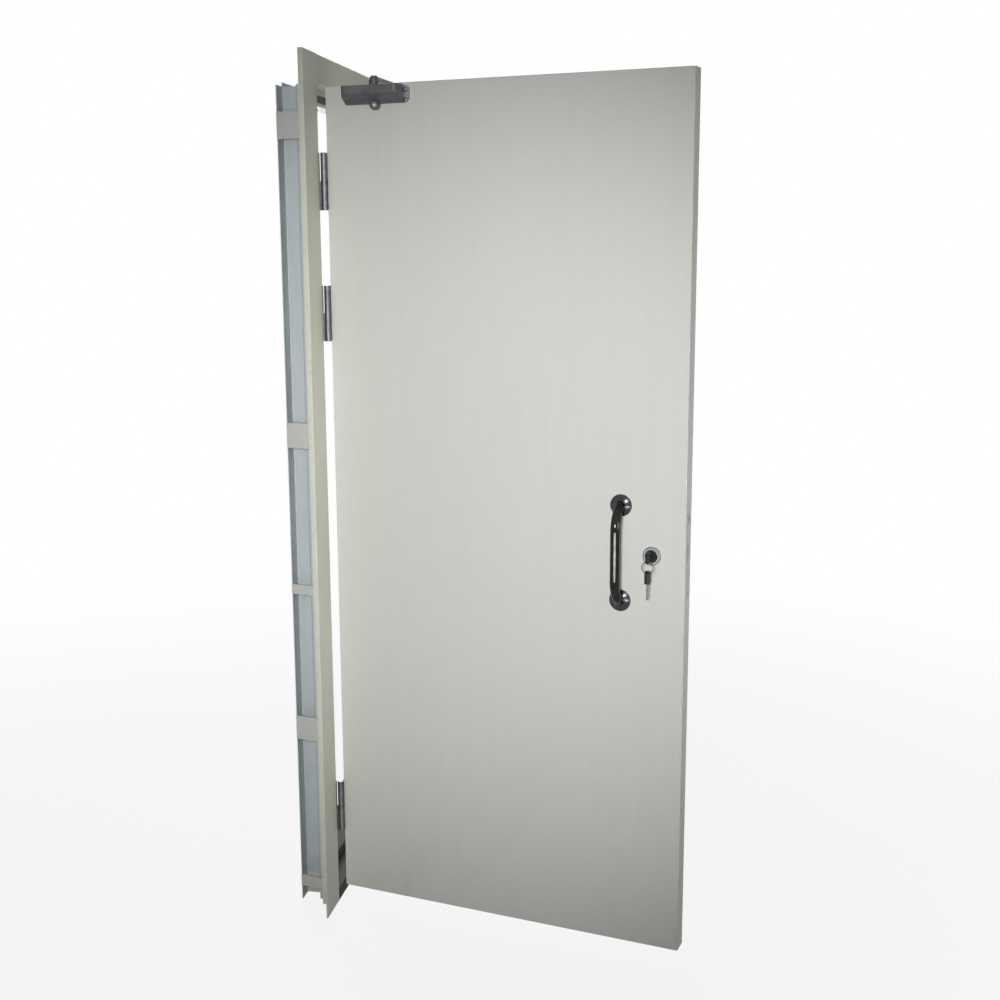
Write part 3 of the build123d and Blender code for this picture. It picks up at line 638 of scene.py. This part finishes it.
def split_ring():
    """A key ring of flattened wire, wound two turns side by side with one step between them."""
    data = bmesh.new()
    centre = leaf_point(LOCK_U, RING_V, RING_Z)
    rows = []
    for step in range(WIRE_POINTS + 1):
        turns = RING_START + RING_TURNS * step / WIRE_POINTS
        lean = min(max((turns - RING_STEP_START) / RING_STEP_LENGTH, 0.0), 1.0)
        offset = (lean * lean * (3 - 2 * lean) - 0.5) * RING_PITCH
        angle = 2 * math.pi * turns
        away = LEAF_U * math.cos(angle) + UP * math.sin(angle)
        middle = centre + away * RING_RADIUS + LEAF_V * offset
        row = []
        for side in range(WIRE_SIDES):
            turn = 2 * math.pi * side / WIRE_SIDES
            wide = away * math.cos(turn) * WIRE_HALF_WIDTH
            thick = LEAF_V * math.sin(turn) * WIRE_HALF_THICKNESS
            row.append(data.verts.new(middle + wide + thick))
        rows.append(row)
    for low, high in zip(rows, rows[1:]):
        for index in range(WIRE_SIDES):
            following = (index + 1) % WIRE_SIDES
            data.faces.new((low[index], high[index], high[following], low[following]))
    data.faces.new(rows[0])
    data.faces.new(list(reversed(rows[-1])))
    bmesh.ops.recalc_face_normals(data, faces=data.faces)
    piece = mesh_piece("split_key_ring", data, "ring", ring_wire_painted_reflection)
    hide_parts("key_ring")


closer_places = [leaf_point(u, CLOSER_PLATE_V, z) for u, z in CLOSER_SCREWS]
screw_washers("closer_screw_washers", "leaf", "closer_dark", closer_places, LEAF_U, -LEAF_V, **CLOSER_WASHER)
screw_heads("closer_screws", "leaf", "key_steel", closer_places, LEAF_U, -LEAF_V, **CLOSER_SCREW)
edge_v = (PULL_V + PUSH_V) / 2
edge_heights = (LOCK_Z - EDGE_SCREW_RISE, LOCK_Z + EDGE_SCREW_RISE)
edge_places = [leaf_point(LOCK_EDGE_U, edge_v, height) for height in edge_heights]
screw_heads("lock_front_screws", "leaf", "key_steel", edge_places, LEAF_V, LEAF_U, **PLATE_SCREW)
strike_heights = (LOCK_Z - STRIKE_SCREW_RISE, LOCK_Z + STRIKE_SCREW_RISE)
strike_places = [Vector((REBATE_X, STRIKE_Y, height)) for height in strike_heights]
strike_across, strike_out = Vector((0, 1, 0)), Vector((-1, 0, 0))
screw_heads("strike_screws", "frame", "key_steel", strike_places, strike_across, strike_out, **PLATE_SCREW)
split_ring()


# Stage: floor, world, lights and camera
def seen_directly(tree):
    """One for what the camera, a mirror or glass shows, and zero for light that is scattered."""
    path = add(tree, "ShaderNodeLightPath").outputs
    clear = calc(tree, "MAXIMUM", path["Is Glossy Ray"], path["Is Transmission Ray"])
    return calc(tree, "MAXIMUM", path["Is Camera Ray"], clear)


def studio_world():
    """A white backdrop all round and an even, softer light from it."""
    world = bpy.data.worlds.new("studio")
    world.use_nodes = True
    tree = world.node_tree
    tree.nodes.clear()
    light = add(tree, "ShaderNodeBackground", Color=WHITE, Strength=WORLD_LIGHT)
    backdrop = add(tree, "ShaderNodeBackground", Color=WHITE, Strength=1.0)
    output = add(tree, "ShaderNodeOutputWorld").inputs[0]
    blend_shaders(tree, seen_directly(tree), light.outputs[0], backdrop.outputs[0], output)
    bpy.context.scene.world = world


def pale_floor():
    """A pale floor that keeps the door's shadow and fades into the backdrop."""
    mesh = bpy.data.meshes.new("floor")
    half = FLOOR_SIZE / 2
    corners = [(x, y, FLOOR_Z) for x, y in ((-half, -half), (half, -half), (half, half), (-half, half))]
    mesh.from_pydata(corners, [], [(0, 1, 2, 3)])
    floor = bpy.data.objects.new("floor", mesh)
    bpy.context.scene.collection.objects.link(floor)
    made, tree, shader = material("floor_paper", Roughness=0.9, Specular_IOR_Level=0.1)
    point = place_of(tree)
    speckle = noise(tree, point, scale=6.0, detail=4.0)
    connect(tree, shader.inputs["Base Color"], blend_colors(tree, speckle, FLOOR_DARK, FLOOR_LIGHT))
    distance = add(tree, "ShaderNodeVectorMath", {"operation": "LENGTH"}, Vector=point).outputs["Value"]
    fade = span(tree, distance, FLOOR_FADE_START, FLOOR_FADE_END, FLOOR_WHITENESS, 1.0)
    paper = add(tree, "ShaderNodeEmission", Color=WHITE, Strength=1.0)
    factor = calc(tree, "MULTIPLY", seen_directly(tree), fade)
    output = tree.nodes["Material Output"].inputs[0]
    blend_shaders(tree, factor, shader.outputs[0], paper.outputs[0], output)
    mesh.materials.append(made)


def lamp(name, kind, place, aim, power, **settings):
    """A lamp at one point, aimed at another."""
    data = bpy.data.lights.new(name, kind)
    data.energy = power
    for key, value in settings.items():
        setattr(data, key, value)
    made = bpy.data.objects.new(name, data)
    made.location = place
    made.rotation_euler = (aim - place).to_track_quat("-Z", "Y").to_euler()
    made.visible_camera = False
    bpy.context.scene.collection.objects.link(made)
    return made


def spot_lamp(name, place, aim, power, cone, softness):
    """A round beam that fades out from its middle."""
    return lamp(name, "SPOT", place, aim, power, spot_size=cone, spot_blend=1.0, shadow_soft_size=softness)


def panel_lamp(name, place, aim, power, size):
    """A flat, evenly lit panel."""
    return lamp(name, "AREA", place, aim, power, shape="RECTANGLE", size=size[0], size_y=size[1])


def photo_camera():
    """The camera at the photograph's viewpoint."""
    ahead = Vector((
        math.sin(CAMERA_YAW) * math.cos(CAMERA_PITCH),
        math.cos(CAMERA_YAW) * math.cos(CAMERA_PITCH),
        -math.sin(CAMERA_PITCH),
    ))
    level = Vector((math.cos(CAMERA_YAW), -math.sin(CAMERA_YAW), 0))
    down = ahead.cross(level)
    right = level * math.cos(CAMERA_ROLL) + down * math.sin(CAMERA_ROLL)
    above = level * math.sin(CAMERA_ROLL) - down * math.cos(CAMERA_ROLL)
    data = bpy.data.cameras.new("camera")
    data.sensor_width = SENSOR_WIDTH
    data.lens = CAMERA_LENS
    data.clip_end = VIEW_END
    made = bpy.data.objects.new("camera", data)
    turn = Matrix((right, above, -ahead)).transposed().to_4x4()
    made.matrix_world = Matrix.Translation(CAMERA_PLACE) @ turn
    bpy.context.scene.collection.objects.link(made)
    bpy.context.scene.camera = made


studio_world()
pale_floor()
spot_lamp("key", KEY_PLACE, KEY_AIM, KEY_POWER, KEY_CONE, KEY_SOFTNESS)
strip = panel_lamp("strip", STRIP_PLACE, STRIP_AIM, STRIP_POWER, STRIP_SIZE)
strip.visible_diffuse = False
spot_lamp("fill", FILL_PLACE, FILL_AIM, FILL_POWER, FILL_CONE, FILL_SOFTNESS)
panel_lamp("front", FRONT_PLACE, FRONT_AIM, FRONT_POWER, FRONT_SIZE)
panel_lamp("back", BACK_PLACE, BACK_AIM, BACK_POWER, BACK_SIZE)
photo_camera()
bpy.context.scene.view_settings.view_transform = "Standard"
